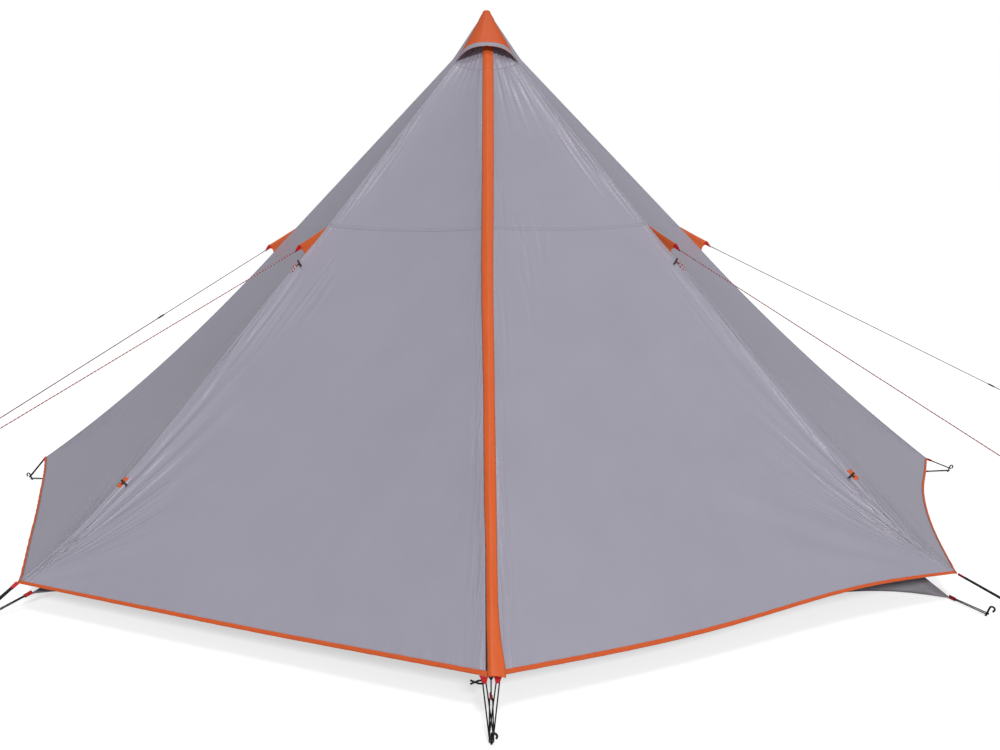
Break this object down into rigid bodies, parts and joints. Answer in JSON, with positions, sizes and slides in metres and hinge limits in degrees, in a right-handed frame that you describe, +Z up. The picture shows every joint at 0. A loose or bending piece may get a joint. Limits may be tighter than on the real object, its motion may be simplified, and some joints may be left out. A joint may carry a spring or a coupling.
{
  "type": "pyramid tent",
  "caption": "Pyramid tent on a centre pole with zipped front doors, a hooded peak vent, a bound raised hem, an inner mesh tent with a tub floor, and pegged guy lines.",
  "frame": {"origin": "on the ground under the centre pole, on the groundsheet's underside", "axes": "+Z up, the zipped front faces -Y, +X to the right seen from the front"},
  "size_m": [6.2796, 4.7098, 2.3574],
  "materials": {
    "grey_cloth": "coated woven polyester, dull sheen",
    "orange_cloth": "coated woven polyester, dull sheen",
    "orange_tape": "folded woven binding tape",
    "red_webbing": "woven webbing and elastic cord",
    "zip_tape": "woven zip tape with a coil",
    "zip_metal": "black enamel",
    "black_steel": "black coated rod",
    "guy_cord": "braided cord, red with pale flecks",
    "black_plastic": "moulded, satin",
    "pole_metal": "satin tube",
    "rubber": "matt",
    "floor_cloth": "coated groundsheet cloth",
    "inner_mesh": "fine insect mesh"
  },
  "bodies": {
    "tent": {"fly_panel_left_front": "grey_cloth", "fly_panel_left_rear": "grey_cloth", "fly_panel_rear_left": "grey_cloth", "fly_panel_rear_right": "grey_cloth", "fly_panel_right_front": "grey_cloth", "fly_panel_right_rear": "grey_cloth", "fly_peak_panel": "grey_cloth", "vent_hood": "orange_cloth", "hem_binding_fixed": "orange_tape", "corner_tie_left_front": "red_webbing", "corner_tie_left": "red_webbing", "corner_tie_left_rear": "red_webbing", "corner_tie_rear": "red_webbing", "corner_tie_right_rear": "red_webbing", "corner_tie_right": "red_webbing", "corner_tie_right_front": "red_webbing", "corner_peg_front": "black_steel", "corner_peg_left_front": "black_steel", "corner_peg_left": "black_steel", "corner_peg_left_rear": "black_steel", "corner_peg_rear": "black_steel", "corner_peg_right_rear": "black_steel", "corner_peg_right": "black_steel", "corner_peg_right_front": "black_steel", "inner_peg_right_front": "black_steel", "guy_fin_left_front": "orange_cloth", "guyline_left_front": "guy_cord", "guy_peg_left_front": "black_steel", "guy_fin_left": "orange_cloth", "guyline_left": "guy_cord", "guy_peg_left": "black_steel", "guy_fin_right": "orange_cloth", "guyline_right": "guy_cord", "guy_peg_right": "black_steel", "guy_fin_right_front": "orange_cloth", "guyline_right_front": "guy_cord", "guy_peg_right_front": "black_steel", "pole_lower_section": "pole_metal", "pole_upper_section": "pole_metal", "pole_foot": "rubber", "inner_floor": "floor_cloth", "inner_canopy": "inner_mesh"},
    "door_left": {"fly_door_left": "grey_cloth", "hem_binding_door_left": "orange_tape", "zip_tape_left": "zip_tape", "corner_tie_front_left": "red_webbing"},
    "door_right": {"fly_door_right": "grey_cloth", "hem_binding_door_right": "orange_tape", "zip_tape_right": "zip_tape", "corner_tie_front_right": "red_webbing", "zip_storm_flap": "orange_cloth"},
    "zip_slider": {"zip_slider": "zip_metal"},
    "guy_runner_left_front": {"guy_runner_left_front": "black_plastic"},
    "guy_runner_left": {"guy_runner_left": "black_plastic"},
    "guy_runner_right": {"guy_runner_right": "black_plastic"},
    "guy_runner_right_front": {"guy_runner_right_front": "black_plastic"},
    "toggle_upper_left": {"toggle_upper_left": "black_plastic"},
    "toggle_lower_left": {"toggle_lower_left": "black_plastic"},
    "toggle_upper_right": {"toggle_upper_right": "black_plastic"},
    "toggle_lower_right": {"toggle_lower_right": "black_plastic"}
  },
  "joints": [
    {"name": "door_left_opens", "type": "hinge", "parent": "tent", "child": "door_left", "pos_m": [-1.52125, -1.52125, 0.09645], "axis": [-0.5127, -0.5127, -0.6887], "range_deg": [0, 80]},
    {"name": "door_right_opens", "type": "hinge", "parent": "tent", "child": "door_right", "pos_m": [1.52125, -1.52125, 0.09645], "axis": [-0.5127, 0.5127, 0.6887], "range_deg": [0, 80]},
    {"name": "zip_slider_slides", "type": "slide", "parent": "door_right", "child": "zip_slider", "axis": [0, 0.7247, 0.6891], "range_m": [0, 2.54]},
    {"name": "guy_runner_left_front_slides", "type": "slide", "parent": "tent", "child": "guy_runner_left_front", "axis": [0.6346, 0.6383, 0.4358], "range_m": [0, 0.35]},
    {"name": "guy_runner_left_slides", "type": "slide", "parent": "tent", "child": "guy_runner_left", "axis": [0.8562, 0.0031, 0.5167], "range_m": [0, 0.35]},
    {"name": "guy_runner_right_slides", "type": "slide", "parent": "tent", "child": "guy_runner_right", "axis": [-0.8998, -0.0026, 0.4362], "range_m": [0, 0.35]},
    {"name": "guy_runner_right_front_slides", "type": "slide", "parent": "tent", "child": "guy_runner_right_front", "axis": [-0.6268, 0.6228, 0.4682], "range_m": [0, 0.35]},
    {"name": "toggle_upper_left_lifts", "type": "hinge", "parent": "door_left", "child": "toggle_upper_left", "pos_m": [-0.75079, -0.75759, 1.07523], "axis": [0.0163, -0.8356, -0.549], "range_deg": [0, 60]},
    {"name": "toggle_lower_left_lifts", "type": "hinge", "parent": "door_left", "child": "toggle_lower_left", "pos_m": [-1.27207, -1.27888, 0.34949], "axis": [-0.0483, -0.8277, -0.5591], "range_deg": [0, 60]},
    {"name": "toggle_upper_right_lifts", "type": "hinge", "parent": "door_right", "child": "toggle_upper_right", "pos_m": [0.7508, -0.7576, 1.07541], "axis": [0.0159, 0.836, 0.5485], "range_deg": [0, 60]},
    {"name": "toggle_lower_right_lifts", "type": "hinge", "parent": "door_right", "child": "toggle_lower_right", "pos_m": [1.27207, -1.27888, 0.3524], "axis": [-0.0482, 0.8276, 0.5592], "range_deg": [0, 60]}
  ]
}
